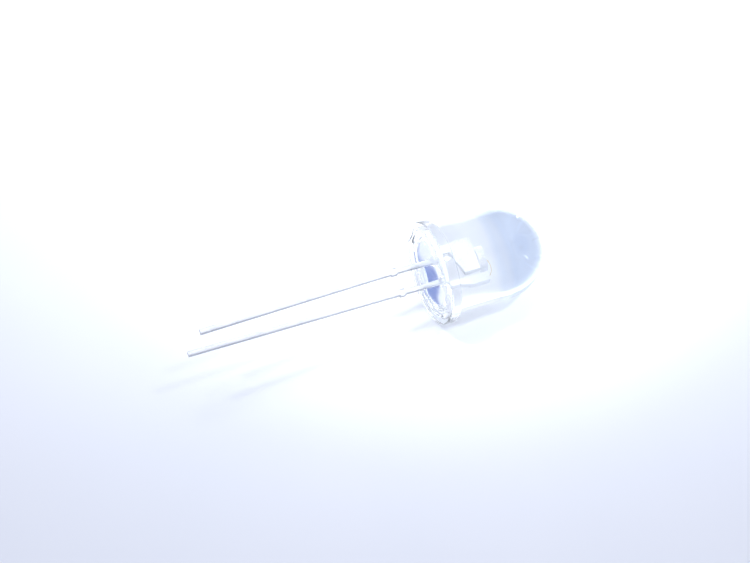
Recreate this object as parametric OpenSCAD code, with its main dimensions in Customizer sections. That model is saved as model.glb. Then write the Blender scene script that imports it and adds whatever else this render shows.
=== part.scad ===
// Ten millimetre round through-hole lamp in clear resin, lying on its side, in millimetres.
// +X runs along the lamp towards the dome and +Z is up. The origin is on the floor, under the
// middle of the lamp's box. The dome dips, because the lamp lies on its flange's rim and its dome.

/* [Lens] */
// Radius of the straight barrel and of the half-round dome on it
barrel_r = 5.0; // [4.0:0.1:6.0]
// From the seating rim to where the dome begins
barrel_h = 8.2; // [6.8:0.1:10.0]
// How far the flange stands out from the barrel
flange_out = 0.75; // [0.5:0.05:1.2]
// Thickness of the flange
flange_t = 1.2; // [1.0:0.05:1.6]
// How deep the flat that marks the cathode side is cut into the flange
flat_cut = 0.5; // [0.2:0.05:0.7]

/* [Hollow at the back] */
// Width of the flat seating rim around the hollow
rim_w = 1.0; // [0.6:0.05:1.4]
// Depth of the hollow on the axis
hollow_d = 1.1; // [0.8:0.05:1.3]
// Radius of the resin collar at the foot of each lead
collar_r = 0.62; // [0.5:0.02:0.9]
// Height of that collar above the hollow's floor
collar_h = 0.45; // [0.3:0.05:0.6]

/* [Leads] */
// Distance between the leads' centres
pitch = 2.54; // [2.4:0.02:2.7]
// Width of a square lead, and thickness of the sheet it is stamped from
lead_w = 0.5; // [0.42:0.01:0.56]
// Cathode lead, from the seating rim to its cut end
cathode_len = 25.5; // [20:0.5:26]
// Anode lead, from the seating rim to its cut end
anode_len = 27.4; // [26:0.2:30]
// How far the cathode lead leans towards the other past its stubs, in degrees
cathode_lean = 1.5; // [0:0.1:2.5]
// From the seating rim to the middle of the cut tie bar's stubs
stub_at = 3.7; // [2.5:0.1:5.0]
// Length of a stub along the lead
stub_len = 0.7; // [0.4:0.1:1.0]
// How far a stub stands out at each side of the lead
stub_out = 0.14; // [0.08:0.02:0.2]

/* [Heads inside the lens] */
// Where the stamped heads begin to widen
head_from = 2.0; // [1.7:0.1:2.4]
// Where the cathode's head reaches its full width
head_shoulder = 3.1; // [2.8:0.1:3.6]
// Where the anode's post reaches its full width
post_shoulder = 3.6; // [2.8:0.1:4.4]
// Top face of the cathode's head, under the cup
head_to = 4.9; // [4.4:0.1:5.9]
// How far the head reaches out beyond its lead
head_out = 0.1; // [0:0.05:0.4]
// How far the post reaches out beyond its lead
post_out = 0.34; // [0:0.02:0.5]
// How far the cup stands out past the head's inner edge
cup_over = 0.13; // [0:0.01:0.2]
// Gap between the cup and the post
cup_gap = 0.27; // [0.15:0.01:0.4]
// Outer radius of the reflector cup
cup_r = 0.85; // [0.7:0.05:0.95]
// Height of the cup above the head
cup_h = 0.9; // [0.7:0.05:1.1]
// Radius of the bowl at the cup's rim
bowl_rim_r = 0.68; // [0.5:0.02:0.7]
// Radius of the bowl's flat floor
bowl_floor_r = 0.42; // [0.3:0.02:0.46]
// Depth of the bowl
bowl_d = 0.5; // [0.35:0.05:0.6]
// How far the post's top lies below the cup's rim
post_below = 0.1; // [0:0.05:0.4]

/* [Chip and wire] */
// Width of the square chip
die_w = 0.36; // [0.25:0.01:0.4]
// Height of the chip
die_h = 0.2; // [0.12:0.02:0.26]
// Radius of the pad of silver-filled resin under it
attach_r = 0.3; // [0.22:0.02:0.3]
// Thickness of that pad
attach_t = 0.04; // [0.03:0.01:0.06]
// Radius of the bond wire
wire_r = 0.03; // [0.02:0.005:0.04]
// From the post's inner edge to where the wire lands on it
landing_in = 0.3; // [0.1:0.05:0.5]
// Height of the wire's bow above its landing on the post
wire_bow = 0.42; // [0.3:0.02:0.5]
// Radius of the ball on the chip and of the stitch on the post
bond_r = 0.07; // [0.05:0.01:0.09]
// Height of the ball and of the stitch
bond_h = 0.06; // [0.04:0.01:0.08]

/* [Resting] */
// Turn about the lamp's own axis that drops the anode below the cathode
roll = 10; // [0:1:20]

/* [Hidden] */
clear = 1; // how far a cutting shape runs past what it cuts
sunk = 0.3; // how far a collar's cone runs on under the hollow's floor
collar_tip_r = lead_w / sqrt(2) + 0.04; // radius of its tip, just round the lead's corners
seam_turn = -1.5; // turn of the barrel and dome about the lamp's axis; it moves only their seam
flange_r = barrel_r + flange_out;
flat_offset = flange_r - flat_cut;
hollow_r = flange_r - rim_w;
hollow_sphere_r = (hollow_r * hollow_r + hollow_d * hollow_d) / (2 * hollow_d);
lead_x = pitch / 2;
// hollow's depth where the leads leave it
hollow_at_lead = hollow_d - hollow_sphere_r + sqrt(pow(hollow_sphere_r, 2) - pow(lead_x, 2));
bowl_floor = head_to + cup_h - bowl_d;
die_foot = bowl_floor + attach_t;
ball_foot = die_foot + die_h;

// edges in the plane of the leads, each as a distance from the axis
lead_in = lead_x - lead_w / 2;
lead_out = lead_x + lead_w / 2;
head_left = lead_out + head_out;
head_right = cup_r - cup_over;
post_inner = cup_r + cup_gap;
post_outer = lead_out + post_out;
post_to = head_to + cup_h - post_below;
landing_x = post_inner + landing_in;

// bow of the wire, an arc of a circle through the chip's wire and the landing
bow_half = landing_x / 2;
bow_r = (bow_half * bow_half + wire_bow * wire_bow) / (2 * wire_bow);
bow_half_angle = asin(bow_half / bow_r);
bow_from = post_to + bond_h;

// resting: a line from the flange's front rim, tangent to the dome, lies on the floor
rim_run = barrel_h - flange_t;
rim_reach = sqrt(rim_run * rim_run + flange_r * flange_r);
dip = atan(flange_r / rim_run) - asin(barrel_r / rim_reach);
seat_z = barrel_r + barrel_h * sin(dip);
// the lamp's ends along X: the anode's lowest corner and the dome
anode_drop = lead_out * sin(roll) + lead_w / 2 * cos(roll);
x_low = -anode_len * cos(dip) - anode_drop * sin(dip);
x_high = barrel_h * cos(dip) + barrel_r;
// and its sides along Y: the round flange, and where the flat's lower end meets it
flat_half_angle = acos(flat_offset / flange_r);
y_high = max(barrel_r, flange_r * cos(flat_half_angle - roll));
seat_x = -(x_low + x_high) / 2;
seat_y = (flange_r - y_high) / 2;

// The modules below build about the lamp's axis: Z from the seating rim to the dome, and X from the
// cathode to the anode. This lays them down.
module laid() {
    translate([seat_x, seat_y, seat_z]) rotate([0, 90 + dip, 0]) rotate([0, 0, roll - 90]) children();
}

module box_from(x0, x1, z0, z1) {
    translate([x0, -lead_w / 2, z0]) cube([x1 - x0, lead_w, z1 - z0]);
}

// A flat outline in the plane of the leads, given the thickness of the sheet
module stamped(points) {
    rotate([90, 0, 0]) translate([0, 0, -lead_w / 2]) linear_extrude(lead_w) polygon(points);
}

// A lead at x: straight from the head to its stubs, then turned by lean about their middle
module lead(x, length, lean) {
    box_from(x - lead_w / 2, x + lead_w / 2, -stub_at, head_from);
    box_from(x - lead_w / 2 - stub_out, x + lead_w / 2 + stub_out,
             -stub_at - stub_len / 2, -stub_at + stub_len / 2);
    translate([x, 0, -stub_at]) rotate([0, lean, 0])
        box_from(-lead_w / 2, lead_w / 2, stub_at - length, 0);
}

module cathode_shape() {
    union() {
        lead(-lead_x, cathode_len, -cathode_lean);
        stamped([[-lead_out, head_from], [-lead_in, head_from], [head_right, head_shoulder],
                 [head_right, head_to], [-head_left, head_to], [-head_left, head_shoulder]]);
        difference() {
            translate([0, 0, head_to]) cylinder(r = cup_r, h = cup_h);
            translate([0, 0, bowl_floor]) cylinder(r1 = bowl_floor_r, r2 = bowl_rim_r, h = bowl_d);
        }
    }
}

module anode_shape() {
    union() {
        lead(lead_x, anode_len, 0);
        stamped([[lead_in, head_from], [lead_out, head_from], [post_outer, post_shoulder],
                 [post_outer, post_to], [post_inner, post_to], [post_inner, post_shoulder]]);
    }
}

module die_shape() {
    translate([-die_w / 2, -die_w / 2, die_foot]) cube([die_w, die_w, die_h]);
}

module attach_shape() {
    translate([0, 0, bowl_floor]) cylinder(r = attach_r, h = attach_t);
}

module wire_shape() {
    union() {
        translate([0, 0, ball_foot]) cylinder(r = bond_r, h = bond_h);
        translate([0, 0, ball_foot]) cylinder(r = wire_r, h = bow_from - ball_foot);
        translate([bow_half, 0, bow_from - bow_r + wire_bow]) rotate([90, 0, 0])
            rotate([0, 0, 90 - bow_half_angle])
                rotate_extrude(angle = 2 * bow_half_angle) translate([bow_r, 0]) circle(r = wire_r);
        translate([0, 0, bow_from]) sphere(r = wire_r);
        translate([landing_x, 0, post_to]) cylinder(r = bond_r, h = bond_h + wire_r);
    }
}

module lens_blank() {
    difference() {
        union() {
            cylinder(r = flange_r, h = flange_t);
            rotate([0, 0, seam_turn]) {
                cylinder(r = barrel_r, h = barrel_h);
                translate([0, 0, barrel_h]) sphere(r = barrel_r);
            }
        }
        translate([0, 0, hollow_d - hollow_sphere_r]) sphere(r = hollow_sphere_r);
        translate([-flat_offset - flange_r, -flange_r - clear, -clear])
            cube([flange_r, 2 * (flange_r + clear), flange_t + 2 * clear]);
    }
}

module collar(x) {
    slope = (collar_r - collar_tip_r) / collar_h;
    translate([x, 0, hollow_at_lead - collar_h])
        cylinder(r1 = collar_tip_r, r2 = collar_r + slope * sunk, h = collar_h + sunk);
}

module lens_shape() {
    difference() {
        union() {
            lens_blank();
            collar(-lead_x);
            collar(lead_x);
        }
        cathode_shape();
        anode_shape();
        die_shape();
        attach_shape();
        wire_shape();
    }
}

module lens() { color([0.86, 0.90, 0.98, 0.4]) laid() lens_shape(); }
module cathode_frame() { color([0.78, 0.79, 0.82]) laid() cathode_shape(); }
module anode_frame() { color([0.78, 0.79, 0.82]) laid() anode_shape(); }
module die() { color([0.80, 0.72, 0.35]) laid() die_shape(); }
module die_attach() { color([0.70, 0.70, 0.70]) laid() attach_shape(); }
module bond_wire() { color([0.95, 0.75, 0.30]) laid() wire_shape(); }

lens();
cathode_frame();
anode_frame();
die();
die_attach();
bond_wire();
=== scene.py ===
"""Ten millimetre round lamp in clear resin, lying on a pale table.

Each piece is modelled about the lamp's own axis, with Z from the seating rim to the dome and X from
the cathode to the anode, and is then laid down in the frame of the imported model. Lengths are metres.
"""
import logging
import math
from dataclasses import dataclass
from enum import Enum
from typing import Callable, Iterable, Sequence

import bpy
from mathutils import Matrix, Vector


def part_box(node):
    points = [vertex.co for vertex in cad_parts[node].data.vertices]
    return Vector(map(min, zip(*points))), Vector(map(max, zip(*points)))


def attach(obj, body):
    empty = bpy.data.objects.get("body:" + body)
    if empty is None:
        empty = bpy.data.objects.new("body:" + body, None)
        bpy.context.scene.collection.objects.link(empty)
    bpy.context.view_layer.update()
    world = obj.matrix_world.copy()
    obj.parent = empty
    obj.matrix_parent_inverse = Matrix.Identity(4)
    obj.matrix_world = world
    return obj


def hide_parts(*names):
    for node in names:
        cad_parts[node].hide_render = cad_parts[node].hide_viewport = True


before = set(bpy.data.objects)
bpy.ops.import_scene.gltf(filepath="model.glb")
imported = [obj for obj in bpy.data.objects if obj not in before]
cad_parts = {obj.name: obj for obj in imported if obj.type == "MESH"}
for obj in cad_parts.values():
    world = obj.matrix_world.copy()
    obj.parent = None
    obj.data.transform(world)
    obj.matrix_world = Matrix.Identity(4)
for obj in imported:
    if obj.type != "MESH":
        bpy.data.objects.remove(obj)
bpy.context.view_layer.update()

MM = 0.001
# points closer than this are one point
WELD = 0.0005 * MM
# size of the plane that is welded to a point to start an outline
SEED = 0.1 * MM
# edges that turn by more than this are rounded
SHARP = math.radians(30)
# faces across a rounded edge, and across the rim of a cut
EDGE_SEGMENTS = 2
CUT_SEGMENTS = 3
QUARTER = math.pi / 2
# where a noise pattern counts as low and as high, for numbers and for a material's grain
NOISE_SPAN = (0.3, 0.7)
GRAIN_SPAN = (0.35, 0.65)
# the colour sockets of a Mix node
MIX_LOW = 6
MIX_HIGH = 7
MIX_RESULT = 2

Point = tuple[float, float]
Span = tuple[float, float]
Triple = tuple[float, float, float]
Colour = tuple[float, float, float, float]
Socket = bpy.types.NodeSocket

log = logging.getLogger("lamp")


class Axis(Enum):
    """Direction of an axis of the lamp."""

    Y = (0.0, 1.0, 0.0)
    Z = (0.0, 0.0, 1.0)


class Slot(Enum):
    """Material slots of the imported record."""

    EPOXY = "clear_epoxy"
    STEEL = "tinned_steel"
    CHIP = "semiconductor"
    SILVER = "silver_resin"
    GOLD = "gold"


@dataclass(frozen=True)
class LampSizes:
    """Driving sizes of the lamp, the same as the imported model's."""

    barrel_r: float = 5.0 * MM
    barrel_h: float = 8.2 * MM
    flange_out: float = 0.75 * MM
    flange_t: float = 1.2 * MM
    flat_cut: float = 0.5 * MM
    rim_w: float = 1.0 * MM
    hollow_d: float = 1.1 * MM
    pitch: float = 2.54 * MM
    lead_w: float = 0.5 * MM
    roll: float = math.radians(10)

    @property
    def flange_r(self) -> float:
        """Radius of the flange."""
        return self.barrel_r + self.flange_out

    @property
    def hollow_r(self) -> float:
        """Radius of the hollow where it meets the seating rim."""
        return self.flange_r - self.rim_w

    @property
    def hollow_sphere_r(self) -> float:
        """Radius of the sphere that the hollow is part of."""
        return (self.hollow_r**2 + self.hollow_d**2) / (2 * self.hollow_d)

    @property
    def lead_x(self) -> float:
        """Distance from the axis to the middle of a lead."""
        return self.pitch / 2

    @property
    def dip(self) -> float:
        """Angle by which the dome dips when the lamp lies on its flange and its dome.

        Returns:
            The angle, in radians.
        """
        run = self.barrel_h - self.flange_t
        reach = math.hypot(run, self.flange_r)
        return math.atan(self.flange_r / run) - math.asin(self.barrel_r / reach)

    def laid(self) -> Matrix:
        """Placement of the lamp's own axes in the frame, resting on the floor.

        Returns:
            The matrix that lays a piece down, with the dome against the high end of the frame's box.
        """
        lower = Matrix.Rotation(QUARTER + self.dip, 4, "Y")
        roll = Matrix.Rotation(self.roll - QUARTER, 4, "Z")
        low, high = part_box("lens")
        seat = Vector()
        seat.x = high.x - self.barrel_r - self.barrel_h * math.cos(self.dip)
        seat.y = low.y + self.flange_r
        seat.z = self.barrel_r + self.barrel_h * math.sin(self.dip)
        return Matrix.Translation(seat) @ lower @ roll


class Bench:
    """Moves of modelling by hand, on one mesh at a time, in edit mode."""

    def __init__(self, name: str) -> None:
        """Clears the selection, so that the next primitive is all that is worked on.

        Args:
            name: Name of the piece.
        """
        self.name = name
        self.at = Vector()
        bpy.ops.object.select_all(action="DESELECT")

    @property
    def piece(self) -> bpy.types.Object:
        """The object being worked on."""
        return bpy.context.object

    def adopt(self) -> None:
        """Names the primitive that was just added, and makes its place and size its mesh's own."""
        self.piece.name = self.name
        self.piece.data.name = self.name
        settle_place()

    def start(self, at: Sequence[float]) -> None:
        """Puts down a plane and welds it to one point, the start of an outline.

        Args:
            at: Where the outline starts.
        """
        bpy.ops.mesh.primitive_plane_add(size=SEED, location=at)
        self.adopt()
        bpy.ops.object.mode_set(mode="EDIT")
        bpy.ops.mesh.select_mode(type="VERT")
        bpy.ops.mesh.select_all(action="SELECT")
        bpy.ops.mesh.merge(type="CENTER")
        self.at = Vector(at)

    def line(self, to: Sequence[float]) -> None:
        """Extrudes the outline's end point straight to another.

        Args:
            to: Where the line ends.
        """
        step = Vector(to) - self.at
        bpy.ops.mesh.extrude_region_move(TRANSFORM_OT_translate={"value": step})
        self.at = Vector(to)

    def lines(self, points: Iterable[Point]) -> None:
        """Extrudes the outline through several points of the XZ plane.

        Args:
            points: Places along X and Z.
        """
        for x, z in points:
            self.line((x, 0.0, z))

    def arc(self, centre: Point, angle: float, steps: int) -> None:
        """Spins the outline's end point about a centre in the XZ plane.

        Args:
            centre: Place of the centre along X and Z.
            angle: Turn about Y, in radians.
            steps: Number of segments.
        """
        middle = Vector((centre[0], 0.0, centre[1]))
        bpy.ops.mesh.spin(steps=steps, angle=-angle, center=middle, axis=Axis.Y.value)
        self.at = middle + Matrix.Rotation(angle, 3, "Y") @ (self.at - middle)

    def spin(self, steps: int) -> None:
        """Spins the whole outline about the lamp's axis and closes its seam and poles.

        Args:
            steps: Number of segments of the turn.
        """
        bpy.ops.mesh.select_all(action="SELECT")
        bpy.ops.mesh.spin(steps=steps, angle=2 * math.pi, center=(0, 0, 0), axis=Axis.Z.value)
        self.weld()

    def weld(self) -> None:
        """Merges doubled points and turns all faces outwards."""
        bpy.ops.mesh.select_all(action="SELECT")
        bpy.ops.mesh.remove_doubles(threshold=WELD)
        bpy.ops.mesh.select_all(action="SELECT")
        bpy.ops.mesh.normals_make_consistent(inside=False)

    def cut(self, at: Sequence[float], normal: Sequence[float]) -> None:
        """Cuts away what lies on the far side of a plane and fills the cut.

        Args:
            at: A point on the plane.
            normal: Direction of the side that goes.
        """
        bpy.ops.mesh.select_all(action="SELECT")
        bpy.ops.mesh.bisect(
            plane_co=at, plane_no=normal, use_fill=True, clear_outer=True, threshold=WELD
        )

    def soften_cut(self, width: float) -> None:
        """Rounds the rim of the face that the last cut left selected.

        Args:
            width: Width of the rounding.
        """
        bpy.ops.mesh.bevel(offset=width, segments=CUT_SEGMENTS, affect="EDGES", clamp_overlap=True)

    def thicken(self, thickness: float) -> None:
        """Closes the outline, fills it, and gives it thickness along Y, half to each side.

        Args:
            thickness: Full thickness of the sheet.
        """
        bpy.ops.mesh.select_all(action="SELECT")
        bpy.ops.mesh.edge_face_add()
        bpy.ops.transform.translate(value=(0, -thickness / 2, 0))
        bpy.ops.mesh.extrude_region_move(TRANSFORM_OT_translate={"value": (0, thickness, 0)})
        self.weld()

    def done(self) -> bpy.types.Object:
        """Leaves edit mode.

        Returns:
            The object that was worked on.
        """
        bpy.ops.object.mode_set(mode="OBJECT")
        return self.piece


def apply_modifier(piece: bpy.types.Object, kind: str, **settings: object) -> None:
    """Adds a modifier to a piece and applies it.

    Args:
        piece: The object to change.
        kind: Blender's name for the modifier's type.
        settings: The modifier's own settings.
    """
    modifier = piece.modifiers.new(kind.title(), kind)
    for name, value in settings.items():
        setattr(modifier, name, value)
    make_active(piece)
    bpy.ops.object.modifier_apply(modifier=modifier.name)


def make_active(piece: bpy.types.Object) -> None:
    """Selects one object alone and makes it the active one.

    Args:
        piece: The object.
    """
    bpy.ops.object.select_all(action="DESELECT")
    piece.select_set(True)
    bpy.context.view_layer.objects.active = piece


def settle_place() -> None:
    """Moves the active object's place, turn and size into its mesh."""
    bpy.ops.object.transform_apply(location=True, rotation=True, scale=True)


def soften_edges(piece: bpy.types.Object, width: float) -> None:
    """Rounds every sharp edge.

    Args:
        piece: The object to change.
        width: Width of the rounding.
    """
    apply_modifier(
        piece,
        "BEVEL",
        width=width,
        segments=EDGE_SEGMENTS,
        limit_method="ANGLE",
        angle_limit=SHARP,
        use_clamp_overlap=True,
        harden_normals=False,
    )


def fuse(piece: bpy.types.Object, other: bpy.types.Object) -> None:
    """Joins another closed shape to a piece as one skin, and removes the other.

    Args:
        piece: The object that is kept.
        other: The object that becomes part of it.
    """
    apply_modifier(piece, "BOOLEAN", operation="UNION", object=other, solver="EXACT")
    bpy.data.objects.remove(other)


class Nodes:
    """Shader nodes of a material or of the surroundings, linked as they are added."""

    def __init__(self, tree: bpy.types.NodeTree) -> None:
        """Keeps the tree that the nodes go into."""
        self.tree = tree

    def add(self, kind: str, **settings: object) -> bpy.types.Node:
        """Adds a node.

        Args:
            kind: Blender's name for the node's type, without its common start.
            settings: The node's own settings.

        Returns:
            The node.
        """
        node = self.tree.nodes.new("ShaderNode" + kind)
        for name, value in settings.items():
            setattr(node, name, value)
        return node

    def link(self, source: Socket, target: Socket) -> None:
        """Links an output to an input."""
        self.tree.links.new(source, target)

    def fit(self, source: Socket, span: Span, to: Span = (0.0, 1.0), smooth: bool = False) -> Socket:
        """Maps numbers from one range to another.

        Args:
            source: The numbers.
            span: Where their range starts and ends.
            to: What they become at its start and at its end.
            smooth: Whether the change starts and stops gently.

        Returns:
            The mapped numbers, kept within the new range.
        """
        node = self.add("MapRange", interpolation_type="SMOOTHSTEP" if smooth else "LINEAR")
        node.inputs["From Min"].default_value = span[0]
        node.inputs["From Max"].default_value = span[1]
        node.inputs["To Min"].default_value = to[0]
        node.inputs["To Max"].default_value = to[1]
        self.link(source, node.inputs["Value"])
        return node.outputs["Result"]

    def mix(self, share: Socket, low: Socket | tuple, high: Colour) -> Socket:
        """Mixes two colours.

        Args:
            share: Share of the second colour, from 0 to 1.
            low: The first colour, or the output that gives it.
            high: The second colour.

        Returns:
            The mixed colour.
        """
        node = self.add("Mix", data_type="RGBA")
        self.link(share, node.inputs["Factor"])
        if isinstance(low, tuple):
            node.inputs[MIX_LOW].default_value = low
        else:
            self.link(low, node.inputs[MIX_LOW])
        node.inputs[MIX_HIGH].default_value = high
        return node.outputs[MIX_RESULT]


class Surface(Nodes):
    """Nodes of one material, which end in its shader and read Object coordinates."""

    def __init__(self, name: str) -> None:
        """Makes the material.

        Args:
            name: Its name.
        """
        self.material = bpy.data.materials.new(name)
        self.material.use_nodes = True
        super().__init__(self.material.node_tree)
        self.shader = self.tree.nodes["Principled BSDF"]

    def value(self, socket: str, number: float) -> None:
        """Sets one of the shader's sockets to a constant."""
        self.shader.inputs[socket].default_value = number

    def feed(self, source: Socket, socket: str) -> None:
        """Links a pattern to one of the shader's sockets."""
        self.link(source, self.shader.inputs[socket])

    def place(self, scale: Sequence[float], shift: Sequence[float] = (0.0, 0.0, 0.0)) -> Socket:
        """Object coordinates through a Mapping node.

        Args:
            scale: How often the pattern repeats along each axis, in cycles a metre.
            shift: What is added to the scaled coordinates.

        Returns:
            The mapped vector.
        """
        mapping = self.add("Mapping")
        mapping.inputs["Scale"].default_value = scale
        mapping.inputs["Location"].default_value = shift
        self.link(self.add("TexCoord").outputs["Object"], mapping.inputs["Vector"])
        return mapping.outputs["Vector"]

    def noise(self, scale: Sequence[float], detail: float = 3.0) -> Socket:
        """A noise pattern.

        Args:
            scale: Cycles a metre along each axis.
            detail: Number of finer octaves.

        Returns:
            The noise value, from 0 to 1.
        """
        node = self.add("TexNoise")
        node.inputs["Scale"].default_value = 1.0
        node.inputs["Detail"].default_value = detail
        self.link(self.place(scale), node.inputs["Vector"])
        return node.outputs["Fac"]

    def grain(self, scale: float, detail: float = 3.0) -> Socket:
        """A noise pattern that is the same along every axis.

        Args:
            scale: Cycles a metre.
            detail: Number of finer octaves.

        Returns:
            The noise value, from 0 to 1.
        """
        return self.noise((scale,) * 3, detail)

    def shades(self, source: Socket, span: Span, first: Colour, last: Colour) -> Socket:
        """Runs a pattern through a ramp of two colours.

        Args:
            source: The pattern.
            span: Where the ramp starts and ends.
            first: Colour up to its start.
            last: Colour from its end on.

        Returns:
            The colour.
        """
        node = self.add("ValToRGB")
        for stop, at, colour in zip(node.color_ramp.elements, span, (first, last)):
            stop.position = at
            stop.color = colour
        self.link(source, node.inputs["Fac"])
        return node.outputs["Color"]

    def spread(self, source: Socket, to: Span, socket: str) -> None:
        """Maps a noise pattern to a range of numbers for one of the shader's sockets.

        Args:
            source: The pattern.
            to: Numbers where the pattern is low and where it is high.
            socket: Name of the shader's socket.
        """
        self.feed(self.fit(source, NOISE_SPAN, to), socket)

    def along(self, span: Span) -> Socket:
        """How far a place lies between two places along X.

        Args:
            span: Where the share is 0 and where it is 1.

        Returns:
            The share, from 0 to 1.
        """
        split = self.add("SeparateXYZ")
        self.link(self.place((1.0, 1.0, 1.0)), split.inputs["Vector"])
        return self.fit(split.outputs["X"], span)

    def product(self, first: Socket, second: Socket) -> Socket:
        """One pattern times another.

        Args:
            first: A pattern.
            second: Another.

        Returns:
            Their product.
        """
        node = self.add("Math", operation="MULTIPLY")
        self.link(first, node.inputs[0])
        self.link(second, node.inputs[1])
        return node.outputs["Value"]

    def bump(self, source: Socket, depth: float, strength: float) -> None:
        """Raises the surface by a pattern.

        Args:
            source: The pattern.
            depth: Height of the relief.
            strength: How strongly it turns the surface.
        """
        node = self.add("Bump")
        node.inputs["Distance"].default_value = depth
        node.inputs["Strength"].default_value = strength
        self.link(source, node.inputs["Height"])
        self.feed(node.outputs["Normal"], "Normal")


class Finish:
    """A procedural material; each kind says how its surface is dressed."""

    name: str = "finish"

    def build(self) -> bpy.types.Material:
        """Makes the material.

        Returns:
            A material with this finish's name.
        """
        surface = Surface(self.name)
        self.dress(surface)
        return surface.material

    def dress(self, surface: Surface) -> None:
        """Sets the shader up; each finish has its own."""
        raise NotImplementedError


@dataclass(frozen=True)
class ClearEpoxy(Finish):
    """Water-clear cast resin with painted shade in the dome, a blue that stands in for the shaded floor
    seen through it, and a faint waviness from its mould.
    """

    name: str = "water_clear_resin"
    ior: float = 1.57
    pale: Colour = (1.0, 1.0, 1.0, 1.0)
    cool: Colour = (0.985, 0.995, 1.0, 1.0)
    # painted shade: the blue the dome takes on, standing in for the shaded floor seen through it, from the
    # start to the end of the span below
    blue: Colour = (0.82, 0.89, 0.985, 1.0)
    dome: Span = (14.4 * MM, 15.2 * MM)
    swirl: float = 260.0
    swirl_span: Span = (0.3, 0.7)
    polish: float = 1040.0
    roughness: Span = (0.0, 0.015)
    wave: float = 420.0
    wave_depth: float = 0.02 * MM
    wave_strength: float = 0.1

    def dress(self, surface: Surface) -> None:
        """Clear resin of one index, with a slightly uneven tint and polish, and painted shade in blue past
        the barrel.

        Args:
            surface: The material's nodes.
        """
        surface.value("Transmission Weight", 1.0)
        surface.value("IOR", self.ior)
        swirls = surface.shades(surface.grain(self.swirl), self.swirl_span, self.pale, self.cool)
        # painted shade: past the barrel the resin's colour turns blue, for the shaded floor seen through
        # the dome
        surface.feed(surface.mix(surface.along(self.dome), swirls, self.blue), "Base Color")
        surface.spread(surface.grain(self.polish), self.roughness, "Roughness")
        surface.bump(surface.grain(self.wave, 1.0), self.wave_depth, self.wave_strength)


@dataclass(frozen=True)
class TinnedSteel(Finish):
    """Tin over stamped steel, with the heads plated in matt silver; the same silver is also painted light
    on the leads where they near the lens, lifting the lens's shade.
    """

    name: str = "bright_tin"
    bright: Colour = (0.54, 0.545, 0.575, 1.0)
    dull: Colour = (0.47, 0.475, 0.51, 1.0)
    # matt silver of the plated heads inside the lens; on the leads just outside the lens it is painted
    # light that lifts the lens's shade, over the span below
    silver: Colour = (0.96, 0.97, 0.99, 1.0)
    plating_and_painted_light: Span = (5.4 * MM, 7.6 * MM)
    plated: Span = (8.6 * MM, 9.6 * MM)
    blotch: float = 900.0
    blotch_span: Span = (0.3, 0.65)
    drawn: Triple = (150.0, 6000.0, 6000.0)
    roughness: Span = (0.40, 0.52)
    crackle: float = 7000.0
    crackle_depth: float = 0.1 * MM
    crackle_strength: float = 0.9

    def dress(self, surface: Surface) -> None:
        """Metal with drawing marks and cloudy tin, and a crackled plate where the heads begin.

        Args:
            surface: The material's nodes.
        """
        surface.value("Metallic", 1.0)
        blotches = surface.grain(self.blotch, 5.0)
        clouds = surface.shades(blotches, self.blotch_span, self.dull, self.bright)
        # partly real plating and partly painted light: the leads turn silver from outside the lens inwards,
        # against the shade the lens casts
        surface.feed(surface.mix(surface.along(self.plating_and_painted_light), clouds, self.silver), "Base Color")
        surface.spread(surface.noise(self.drawn), self.roughness, "Roughness")
        crackle = surface.product(surface.grain(self.crackle, 4.0), surface.along(self.plated))
        surface.bump(crackle, self.crackle_depth, self.crackle_strength)


@dataclass(frozen=True)
class ChipCrystal(Finish):
    """Sawn semiconductor crystal with a fine grain."""

    name: str = "chip_crystal"
    dark: Colour = (0.34, 0.30, 0.12, 1.0)
    light: Colour = (0.62, 0.56, 0.22, 1.0)
    grain: float = 20000.0
    specular: float = 0.8
    roughness: Span = (0.15, 0.4)

    def dress(self, surface: Surface) -> None:
        """Glossy crystal, mottled by sawing.

        Args:
            surface: The material's nodes.
        """
        surface.value("Specular IOR Level", self.specular)
        mottle = surface.shades(surface.grain(self.grain), GRAIN_SPAN, self.dark, self.light)
        surface.feed(mottle, "Base Color")
        surface.spread(surface.grain(self.grain), self.roughness, "Roughness")


@dataclass(frozen=True)
class SilverResin(Finish):
    """Resin filled with silver flakes, under the chip."""

    name: str = "silver_paste"
    resin: Colour = (0.42, 0.42, 0.42, 1.0)
    flake: Colour = (0.78, 0.78, 0.76, 1.0)
    grain: float = 30000.0
    metal: float = 0.8
    roughness: Span = (0.35, 0.6)
    relief: float = 0.01 * MM
    strength: float = 0.4

    def dress(self, surface: Surface) -> None:
        """Grainy grey metal.

        Args:
            surface: The material's nodes.
        """
        surface.value("Metallic", self.metal)
        flakes = surface.shades(surface.grain(self.grain), GRAIN_SPAN, self.resin, self.flake)
        surface.feed(flakes, "Base Color")
        surface.spread(surface.grain(self.grain), self.roughness, "Roughness")
        surface.bump(surface.grain(self.grain), self.relief, self.strength)


@dataclass(frozen=True)
class DrawnGold(Finish):
    """Fine gold wire, drawn smooth."""

    name: str = "drawn_gold"
    deep: Colour = (0.86, 0.60, 0.22, 1.0)
    bright: Colour = (1.0, 0.78, 0.34, 1.0)
    grain: float = 25000.0
    roughness: Span = (0.12, 0.3)

    def dress(self, surface: Surface) -> None:
        """Gold with a slightly uneven shade.

        Args:
            surface: The material's nodes.
        """
        surface.value("Metallic", 1.0)
        shade = surface.shades(surface.grain(self.grain), GRAIN_SPAN, self.deep, self.bright)
        surface.feed(shade, "Base Color")
        surface.spread(surface.grain(self.grain), self.roughness, "Roughness")


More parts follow.
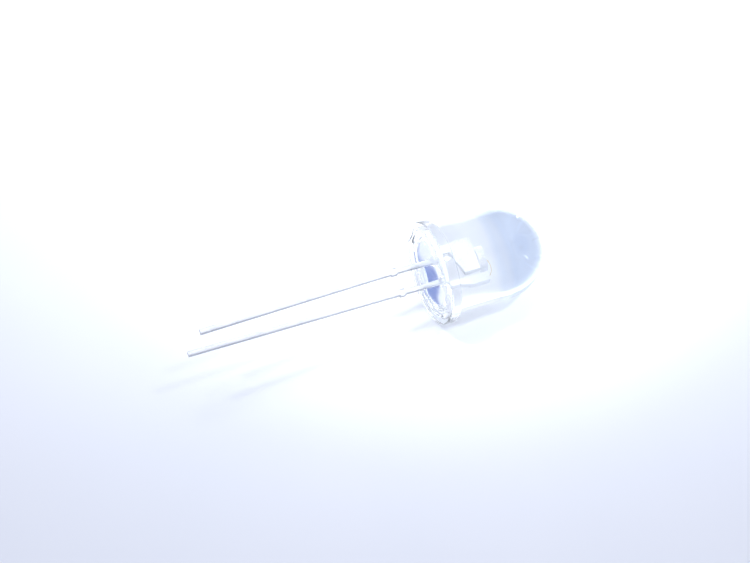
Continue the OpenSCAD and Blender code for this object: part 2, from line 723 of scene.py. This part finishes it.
@dataclass(frozen=True)
class TableTop(Finish):
    """Smooth pale card, with a painted pool of light: its colour is lightest around the lamp."""

    name: str = "pale_card"
    # painted light: the card's colour inside the pool of light around the lamp
    painted_light_white: Colour = (0.94, 0.955, 0.975, 1.0)
    pale: Colour = (0.715, 0.72, 0.745, 1.0)
    cool: Colour = (0.695, 0.705, 0.735, 1.0)
    roughness: float = 0.75
    specular: float = 0.2
    cloud: float = 30.0
    # centre, reach and fade of the painted pool of light
    middle: Triple = (18 * MM, 24 * MM, 0.0)
    reach: float = 60 * MM
    fade: Span = (0.2, 0.55)

    def dress(self, surface: Surface) -> None:
        """Matt card with faint clouds, and a painted pool of light that fades to pale away from the lamp.

        Args:
            surface: The material's nodes.
        """
        surface.value("Roughness", self.roughness)
        surface.value("Specular IOR Level", self.specular)
        clouds = surface.shades(surface.grain(self.cloud), GRAIN_SPAN, self.cool, self.pale)
        # painted light: a pool of lighter colour around the lamp, over the card's clouds
        surface.feed(surface.mix(self.painted_light_share(surface), clouds, self.painted_light_white), "Base Color")

    def painted_light_share(self, surface: Surface) -> Socket:
        """Share of the painted pool of light, from 1 around the lamp to 0 some way off.

        Args:
            surface: The card's nodes.

        Returns:
            The share.
        """
        ball = surface.add("TexGradient", gradient_type="SPHERICAL")
        shift = [-place / self.reach for place in self.middle]
        surface.link(surface.place((1 / self.reach,) * 3, shift), ball.inputs["Vector"])
        return surface.fit(ball.outputs["Fac"], self.fade, smooth=True)


class Part:
    """A piece of the lamp: it builds its mesh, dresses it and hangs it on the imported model."""

    node: str = ""
    slot: Slot = Slot.EPOXY
    smooth_to: float = math.radians(32)

    def __init__(self, sizes: LampSizes, finish: bpy.types.Material) -> None:
        """Keeps what the piece is made from.

        Args:
            sizes: The lamp's driving sizes.
            finish: The piece's material.
        """
        self.sizes = sizes
        self.finish = finish

    def model(self) -> bpy.types.Object:
        """Models the piece about the lamp's own axis; each piece has its own."""
        raise NotImplementedError

    def make(self) -> bpy.types.Object:
        """Models, dresses and lays down the piece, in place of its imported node.

        Returns:
            The finished object.
        """
        piece = self.model()
        make_active(piece)
        piece.matrix_world = self.sizes.laid()
        settle_place()
        bpy.ops.object.shade_smooth_by_angle(angle=self.smooth_to)
        piece.data.materials.clear()
        piece.data.materials.append(self.finish)
        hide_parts(self.node)
        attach(piece, "root")
        log.info("%s: %d faces", piece.name, len(piece.data.polygons))
        return piece


@dataclass(frozen=True)
class LensShape:
    """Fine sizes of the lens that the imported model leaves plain."""

    rim_round: float = 0.12 * MM
    rim_in: float = 0.048 * MM
    rim_up: float = 0.0144 * MM
    rim_out: float = 0.036 * MM
    flange_round: float = 0.16 * MM
    root_round: float = 0.22 * MM
    flat_round: float = 0.08 * MM
    collar_r: float = 0.66 * MM
    collar_h: float = 0.45 * MM
    collar_fall: float = 2.2
    fine_to: float = 2.2 * MM
    fine_steps: int = 36
    coarse_steps: int = 18
    round_steps: int = 6
    dome_steps: int = 56
    turn_steps: int = 192


class Lens(Part):
    """Clear lens: a dome on a barrel, a flange with a flat, and a hollow back."""

    node = "lens"
    slot = Slot.EPOXY
    smooth_to = math.radians(20)
    shape = LensShape()

    def model(self) -> bpy.types.Object:
        """Spins the lens's section, cuts the flat and raises the resin around the leads.

        Returns:
            The lens.
        """
        bench = Bench("clear_lens")
        self.section(bench)
        bench.spin(self.shape.turn_steps)
        flat = self.sizes.flange_r - self.sizes.flat_cut
        bench.cut((-flat, 0, 0), (-1, 0, 0))
        bench.soften_cut(self.shape.flat_round)
        bench.weld()
        piece = bench.done()
        self.raise_collars(piece)
        return piece

    def section(self, bench: Bench) -> None:
        """Draws half of the lens's section, from the hollow's middle round to the dome's tip.

        Args:
            bench: Where it is drawn.
        """
        s, shape = self.sizes, self.shape
        centre = (0.0, s.hollow_d - s.hollow_sphere_r)
        edge = math.asin((s.hollow_r - shape.rim_round) / s.hollow_sphere_r)
        fine = math.asin(shape.fine_to / s.hollow_sphere_r)
        bench.start((0, 0, s.hollow_d))
        bench.arc(centre, fine, shape.fine_steps)
        bench.arc(centre, edge - fine, shape.coarse_steps)
        flange, root = shape.flange_round, shape.root_round
        bench.lines(
            [
                (s.hollow_r - shape.rim_in, shape.rim_up),
                (s.hollow_r + shape.rim_out, 0.0),
                (s.flange_r - flange, 0.0),
            ]
        )
        bench.arc((s.flange_r - flange, flange), -QUARTER, shape.round_steps)
        bench.lines([(s.flange_r, s.flange_t - flange)])
        bench.arc((s.flange_r - flange, s.flange_t - flange), -QUARTER, shape.round_steps)
        bench.lines([(s.barrel_r + root, s.flange_t)])
        bench.arc((s.barrel_r + root, s.flange_t + root), QUARTER, shape.round_steps)
        bench.lines([(s.barrel_r, s.barrel_h)])
        bench.arc((0.0, s.barrel_h), -QUARTER, shape.dome_steps)

    def raise_collars(self, piece: bpy.types.Object) -> None:
        """Draws the hollow's floor out along each lead, as resin that crept up before it set.

        Args:
            piece: The spun lens.
        """
        s, shape = self.sizes, self.shape
        foot = s.lead_w / 2
        for vertex in piece.data.vertices:
            reach = math.hypot(vertex.co.x, vertex.co.y)
            if reach > shape.fine_to or vertex.co.z > s.hollow_d + WELD:
                continue
            for side in (-1, 1):
                dx = max(0.0, abs(vertex.co.x - side * s.lead_x) - foot)
                dy = max(0.0, abs(vertex.co.y) - foot)
                away = min(1.0, math.hypot(dx, dy) / (shape.collar_r - foot))
                vertex.co.z -= shape.collar_h * (1 - away) ** shape.collar_fall


@dataclass(frozen=True)
class HeadShape:
    """Sizes of the lead frames, chip and wire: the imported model's, and the finer ones it leaves plain."""

    cathode_len: float = 25.5 * MM
    anode_len: float = 27.4 * MM
    lean: float = math.radians(1.5)
    stub_at: float = 3.7 * MM
    stub_len: float = 0.7 * MM
    stub_out: float = 0.14 * MM
    head_from: float = 2.0 * MM
    head_shoulder: float = 3.1 * MM
    post_shoulder: float = 3.6 * MM
    head_to: float = 4.9 * MM
    head_out: float = 0.1 * MM
    post_out: float = 0.34 * MM
    cup_over: float = 0.13 * MM
    cup_gap: float = 0.27 * MM
    cup_r: float = 0.85 * MM
    cup_h: float = 0.9 * MM
    cup_foot_r: float = 0.2 * MM
    cup_sunk: float = 0.15 * MM
    cup_steps: int = 64
    bowl_rim_r: float = 0.68 * MM
    bowl_floor_r: float = 0.42 * MM
    bowl_d: float = 0.5 * MM
    post_below: float = 0.1 * MM
    die_w: float = 0.36 * MM
    die_h: float = 0.2 * MM
    attach_r: float = 0.3 * MM
    attach_t: float = 0.04 * MM
    wire_r: float = 0.03 * MM
    landing_in: float = 0.3 * MM
    wire_bow: float = 0.42 * MM
    bond_r: float = 0.07 * MM
    bond_h: float = 0.06 * MM
    edge: float = 0.035 * MM

    @property
    def bowl_floor(self) -> float:
        """Height of the bowl's floor."""
        return self.head_to + self.cup_h - self.bowl_d

    @property
    def post_to(self) -> float:
        """Height of the anode post's top."""
        return self.head_to + self.cup_h - self.post_below

    @property
    def post_inner(self) -> float:
        """Distance from the axis to the post's inner edge."""
        return self.cup_r + self.cup_gap


class LeadFrame(Part):
    """A stamped sheet-metal lead with its head."""

    slot = Slot.STEEL
    shape = HeadShape()

    def lead_side(self, length: float, lean: float, side: int) -> list[Point]:
        """One long edge of a lead, as distances from its middle, from the head down to the cut end.

        Args:
            length: From the seating rim to the cut end.
            lean: Turn past the stubs, in radians.
            side: 1 for the edge away from the axis and -1 for the other, before mirroring.

        Returns:
            Places across and along the lead.
        """
        shape, half = self.shape, self.sizes.lead_w / 2
        top = -shape.stub_at + shape.stub_len / 2
        bottom = -shape.stub_at - shape.stub_len / 2
        out = half + shape.stub_out
        reach = length - shape.stub_at
        end_x = side * half * math.cos(lean) + reach * math.sin(lean)
        end_z = -shape.stub_at - reach * math.cos(lean) + side * half * math.sin(lean)
        slope = (-shape.stub_at - bottom) * math.tan(lean)
        return [
            (side * half, top),
            (side * out, top),
            (side * out, bottom),
            (side * half + slope, bottom),
            (end_x, end_z),
        ]

    def outline(self, x: float, length: float, lean: float, head: Sequence[Point]) -> list[Point]:
        """The sheet's whole outline, down one side of the lead, up the other and round the head.

        Args:
            x: Where the lead's middle is.
            length: From the seating rim to the cut end.
            lean: Turn past the stubs, in radians.
            head: Corners of the head, from the lead's right edge round to its left edge.

        Returns:
            Points in the plane of the leads.
        """
        left = self.lead_side(length, lean, -1)
        right = self.lead_side(length, lean, 1)
        shank = [(x + a, b) for a, b in left + right[::-1]]
        return shank + list(head)

    def stamp(self, name: str, points: Sequence[Point]) -> bpy.types.Object:
        """Cuts an outline from sheet and rounds its edges.

        Args:
            name: Name of the piece.
            points: The outline.

        Returns:
            The stamped object.
        """
        bench = Bench(name)
        first, rest = points[0], points[1:]
        bench.start((first[0], 0.0, first[1]))
        bench.lines(rest)
        bench.thicken(self.sizes.lead_w)
        return bench.done()


class CathodeFrame(LeadFrame):
    """The shorter lead, whose head carries the reflector cup."""

    node = "cathode_frame"

    def model(self) -> bpy.types.Object:
        """Stamps the lead and its head, then raises the cup on it.

        Returns:
            The cathode's lead frame.
        """
        s, shape = self.sizes, self.shape
        x, half = -s.lead_x, s.lead_w / 2
        right = shape.cup_r - shape.cup_over
        left = x - half - shape.head_out
        head = [
            (x + half, shape.head_from),
            (right, shape.head_shoulder),
            (right, shape.head_to),
            (left, shape.head_to),
            (left, shape.head_shoulder),
            (x - half, shape.head_from),
        ]
        piece = self.stamp("cathode_lead", self.outline(x, shape.cathode_len, shape.lean, head))
        fuse(piece, self.cup())
        soften_edges(piece, shape.edge)
        return piece

    def cup(self) -> bpy.types.Object:
        """Spins the reflector cup's section.

        Returns:
            The cup, with its foot sunk a little into the head.
        """
        shape = self.shape
        rim = shape.head_to + shape.cup_h
        foot = shape.head_to - shape.cup_sunk
        bench = Bench("cup")
        bench.start((0, 0, shape.bowl_floor))
        bench.lines(
            [
                (shape.bowl_floor_r, shape.bowl_floor),
                (shape.bowl_rim_r, rim),
                (shape.cup_r, rim),
                (shape.cup_r, shape.head_to),
                (shape.cup_foot_r, shape.head_to),
                (shape.cup_foot_r, foot),
                (0.0, foot),
            ]
        )
        bench.spin(shape.cup_steps)
        return bench.done()


class AnodeFrame(LeadFrame):
    """The longer lead, whose post takes the bond wire."""

    node = "anode_frame"

    def model(self) -> bpy.types.Object:
        """Stamps the lead and its post.

        Returns:
            The anode's lead frame.
        """
        s, shape = self.sizes, self.shape
        x, half = s.lead_x, s.lead_w / 2
        outer = x + half + shape.post_out
        head = [
            (x + half, shape.head_from),
            (outer, shape.post_shoulder),
            (outer, shape.post_to),
            (shape.post_inner, shape.post_to),
            (shape.post_inner, shape.post_shoulder),
            (x - half, shape.head_from),
        ]
        piece = self.stamp("anode_lead", self.outline(x, shape.anode_len, 0.0, head))
        soften_edges(piece, shape.edge)
        return piece


class Chip(Part):
    """The semiconductor chip, with a raised bond pad on top."""

    node = "die"
    slot = Slot.CHIP
    shape = HeadShape()
    pad_in: float = 0.06 * MM
    pad_h: float = 0.01 * MM
    edge: float = 0.008 * MM
    upward: float = 0.9

    def model(self) -> bpy.types.Object:
        """Shapes the chip from a cube, with a bond pad raised on its top and its edges softened.

        Returns:
            The chip.
        """
        shape = self.shape
        foot = shape.bowl_floor + shape.attach_t
        height = shape.die_h - self.pad_h
        bench = Bench("chip")
        bpy.ops.mesh.primitive_cube_add(size=1.0, location=(0, 0, foot + height / 2))
        bench.piece.scale = (shape.die_w, shape.die_w, height)
        bench.adopt()
        select_faces(bench.piece, lambda face: face.normal.z > self.upward)
        bpy.ops.object.mode_set(mode="EDIT")
        bpy.ops.mesh.inset(thickness=self.pad_in, depth=0.0)
        bpy.ops.mesh.extrude_region_move(TRANSFORM_OT_translate={"value": (0, 0, self.pad_h)})
        piece = bench.done()
        soften_edges(piece, self.edge)
        return piece


def select_faces(piece: bpy.types.Object, wanted: Callable[[bpy.types.MeshPolygon], bool]) -> None:
    """Selects the faces that pass a test, and nothing else.

    Args:
        piece: The object, in object mode.
        wanted: The test.
    """
    bpy.ops.object.mode_set(mode="EDIT")
    bpy.ops.mesh.select_mode(type="FACE")
    bpy.ops.mesh.select_all(action="DESELECT")
    bpy.ops.object.mode_set(mode="OBJECT")
    for face in piece.data.polygons:
        face.select = wanted(face)


class ChipPad(Part):
    """The pad of silver-filled resin that the chip sits in."""

    node = "die_attach"
    slot = Slot.SILVER
    shape = HeadShape()
    brink: tuple[Point, ...] = ((1.0, 0.0), (0.97, 0.5), (0.88, 0.9), (0.8, 1.0), (0.0, 1.0))
    turn_steps: int = 48

    def model(self) -> bpy.types.Object:
        """Spins a low pad whose edge falls away to the bowl's floor.

        Returns:
            The pad.
        """
        shape = self.shape
        bench = Bench("chip_pad")
        bench.start((0, 0, shape.bowl_floor))
        bench.lines(scaled(self.brink, shape.attach_r, shape.attach_t, shape.bowl_floor))
        bench.spin(self.turn_steps)
        return bench.done()


def scaled(shares: Iterable[Point], radius: float, height: float, foot: float) -> list[Point]:
    """Brings a section that is given in shares to its size.

    Args:
        shares: Places as shares of the radius and of the height.
        radius: The section's radius.
        height: The section's height.
        foot: Height of the section's foot.

    Returns:
        Places along X and Z.
    """
    return [(across * radius, foot + up * height) for across, up in shares]


class BondWire(Part):
    """Gold wire from the chip to the anode's post, with a ball at one end and a stitch at the other."""

    node = "bond_wire"
    slot = Slot.GOLD
    shape = HeadShape()
    sides: int = 12
    bow_steps: int = 28
    bead: tuple[Point, ...] = ((0.8, 0.0), (1.0, 0.3), (0.9, 0.75), (0.5, 1.0), (0.0, 1.0))
    bead_steps: int = 24

    def model(self) -> bpy.types.Object:
        """Extrudes a ring up from the chip, spins it over and down to the post, and adds both bonds.

        Returns:
            The wire.
        """
        shape = self.shape
        landing = shape.post_inner + shape.landing_in
        ball_foot = shape.bowl_floor + shape.attach_t + shape.die_h
        bow_from = shape.post_to + shape.bond_h
        half = landing / 2
        bow_r = (half**2 + shape.wire_bow**2) / (2 * shape.wire_bow)
        sweep = 2 * math.asin(half / bow_r)
        bench = Bench("bond_wire_gold")
        wire_foot = ball_foot + shape.bond_h / 2
        bpy.ops.mesh.primitive_circle_add(
            vertices=self.sides, radius=shape.wire_r, fill_type="NGON", location=(0, 0, wire_foot)
        )
        bench.adopt()
        bpy.ops.object.mode_set(mode="EDIT")
        bpy.ops.mesh.select_all(action="SELECT")
        rise = bow_from - wire_foot
        bpy.ops.mesh.extrude_region_move(TRANSFORM_OT_translate={"value": (0, 0, rise)})
        centre = (half, 0, bow_from - bow_r + shape.wire_bow)
        bpy.ops.mesh.spin(steps=self.bow_steps, angle=-sweep, center=centre, axis=Axis.Y.value)
        bpy.ops.mesh.extrude_region_move(TRANSFORM_OT_translate={"value": (0, 0, -shape.bond_h / 2)})
        bench.weld()
        piece = bench.done()
        for name, x, z in (("ball", 0.0, ball_foot), ("stitch", landing, shape.post_to)):
            fuse(piece, self.bond(name, x, z))
        return piece

    def bond(self, name: str, x: float, z: float) -> bpy.types.Object:
        """Spins a flattened bead.

        Args:
            name: Name of the bead.
            x: Place of its middle along X.
            z: Height of its foot.

        Returns:
            The bead.
        """
        shape = self.shape
        bench = Bench(name)
        bench.start((0, 0, z))
        bench.lines(scaled(self.bead, shape.bond_r, shape.bond_h, z))
        bench.spin(self.bead_steps)
        bead = bench.done()
        bead.location.x = x
        settle_place()
        return bead


@dataclass(frozen=True)
class SoftLamp:
    """A round soft light that looks at the table from a direction."""

    name: str
    direction: Triple
    watts: float
    width: float = 50 * MM
    far: float = 350 * MM
    beam: float = math.radians(24)
    aim: Triple = (22 * MM, 44 * MM, 0.0)
    colour: Triple = (0.93, 1.01, 1.06)

    def hang(self) -> None:
        """Adds the light to the scene."""
        light = bpy.data.lights.new(self.name, "SPOT")
        light.energy = self.watts
        light.color = self.colour
        light.shadow_soft_size = self.width / 2
        light.spot_size = self.beam
        light.spot_blend = 1.0
        lamp = bpy.data.objects.new(self.name, light)
        bpy.context.scene.collection.objects.link(lamp)
        way = Vector(self.direction).normalized()
        lamp.location = Vector(self.aim) + way * self.far
        lamp.rotation_euler = way.to_track_quat("Z", "Y").to_euler()


@dataclass(frozen=True)
class Surroundings:
    """Pale glow all round, with one dim blue stretch that the hollow's back picks up."""

    overhead: Colour = (1.05, 1.08, 1.20, 1.0)
    level: Colour = (0.84, 0.89, 1.03, 1.0)
    dim: Colour = (0.16, 0.24, 0.62, 1.0)
    dim_way: Triple = (0.78, -0.22, 0.55)
    dim_core: float = math.radians(14)
    dim_edge: float = math.radians(27)

    def build(self) -> None:
        """Makes the world's nodes and hands the world to the scene."""
        world = bpy.data.worlds.new("studio")
        world.use_nodes = True
        bpy.context.scene.world = world
        nodes = Nodes(world.node_tree)
        way = nodes.add("TexCoord").outputs["Generated"]
        glow = nodes.mix(self.height(nodes, way), self.level, self.overhead)
        patch = nodes.mix(self.near_dim(nodes, way), glow, self.dim)
        nodes.link(patch, world.node_tree.nodes["Background"].inputs["Color"])

    def height(self, nodes: Nodes, way: Socket) -> Socket:
        """How high a direction points.

        Args:
            nodes: The world's nodes.
            way: The direction.

        Returns:
            The height, from 0 at the horizon to 1 overhead.
        """
        split = nodes.add("SeparateXYZ")
        nodes.link(way, split.inputs["Vector"])
        return split.outputs["Z"]

    def near_dim(self, nodes: Nodes, way: Socket) -> Socket:
        """How far a direction lies inside the dim stretch.

        Args:
            nodes: The world's nodes.
            way: The direction.

        Returns:
            The share, from 0 outside the stretch to 1 at its core.
        """
        dot = nodes.add("VectorMath", operation="DOT_PRODUCT")
        dot.inputs[1].default_value = Vector(self.dim_way).normalized()
        nodes.link(way, dot.inputs[0])
        span = (math.cos(self.dim_edge), math.cos(self.dim_core))
        return nodes.fit(dot.outputs["Value"], span, smooth=True)


@dataclass(frozen=True)
class Studio:
    """Floor, lights, surroundings and camera."""

    floor_size: float = 1.6
    target: Triple = (2.75 * MM, 4.88 * MM, 0.0)
    camera_at: Triple = (-28.25 * MM, -70.70 * MM, 125.80 * MM)
    lens_mm: float = 64.03
    sees_from: float = 1 * MM
    sees_to: float = 10.0
    clear_bounces: int = 24
    gloss_bounces: int = 12
    lamps: tuple[SoftLamp, ...] = (
        SoftLamp("overhead_box", (0.10, 0.30, 0.95), 3.2, width=200 * MM),
        SoftLamp("right_lamp", (0.324, -0.300, 0.897), 2.6),
        SoftLamp("left_lamp", (-0.431, 0.093, 0.898), 2.6),
    )

    def floor(self, finish: bpy.types.Material) -> None:
        """Lays the table top.

        Args:
            finish: Its material.
        """
        bpy.ops.object.select_all(action="DESELECT")
        bpy.ops.mesh.primitive_plane_add(size=self.floor_size, location=(0, 0, 0))
        top = bpy.context.object
        top.name = "table_top"
        top.data.materials.append(finish)

    def camera(self) -> None:
        """Sets up the camera, looking down at the lamp from its lead side."""
        view = bpy.data.cameras.new("camera")
        view.lens = self.lens_mm
        view.clip_start = self.sees_from
        view.clip_end = self.sees_to
        camera = bpy.data.objects.new("camera", view)
        bpy.context.scene.collection.objects.link(camera)
        place = Vector(self.camera_at)
        camera.location = place
        camera.rotation_euler = (Vector(self.target) - place).to_track_quat("-Z", "Y").to_euler()
        bpy.context.scene.camera = camera

    def exposure(self) -> None:
        """Plain tone curve, and enough light bounces for the clear resin."""
        scene = bpy.context.scene
        scene.view_settings.view_transform = "Standard"
        scene.view_settings.exposure = 0.0
        scene.cycles.max_bounces = self.clear_bounces
        scene.cycles.transmission_bounces = self.clear_bounces
        scene.cycles.glossy_bounces = self.gloss_bounces

    def build(self, table: bpy.types.Material) -> None:
        """Builds the whole studio.

        Args:
            table: The table top's material.
        """
        self.floor(table)
        for lamp in self.lamps:
            lamp.hang()
        Surroundings().build()
        self.camera()
        self.exposure()


def main() -> None:
    """Builds the pieces in the order of assembly, then the studio."""
    logging.basicConfig(level=logging.INFO, format="%(name)s %(message)s")
    sizes = LampSizes()
    steel = TinnedSteel().build()
    pieces = (
        (CathodeFrame, steel),
        (AnodeFrame, steel),
        (ChipPad, SilverResin().build()),
        (Chip, ChipCrystal().build()),
        (BondWire, DrawnGold().build()),
        (Lens, ClearEpoxy().build()),
    )
    for kind, finish in pieces:
        kind(sizes, finish).make()
    Studio().build(TableTop().build())


if __name__ == "__main__":
    main()
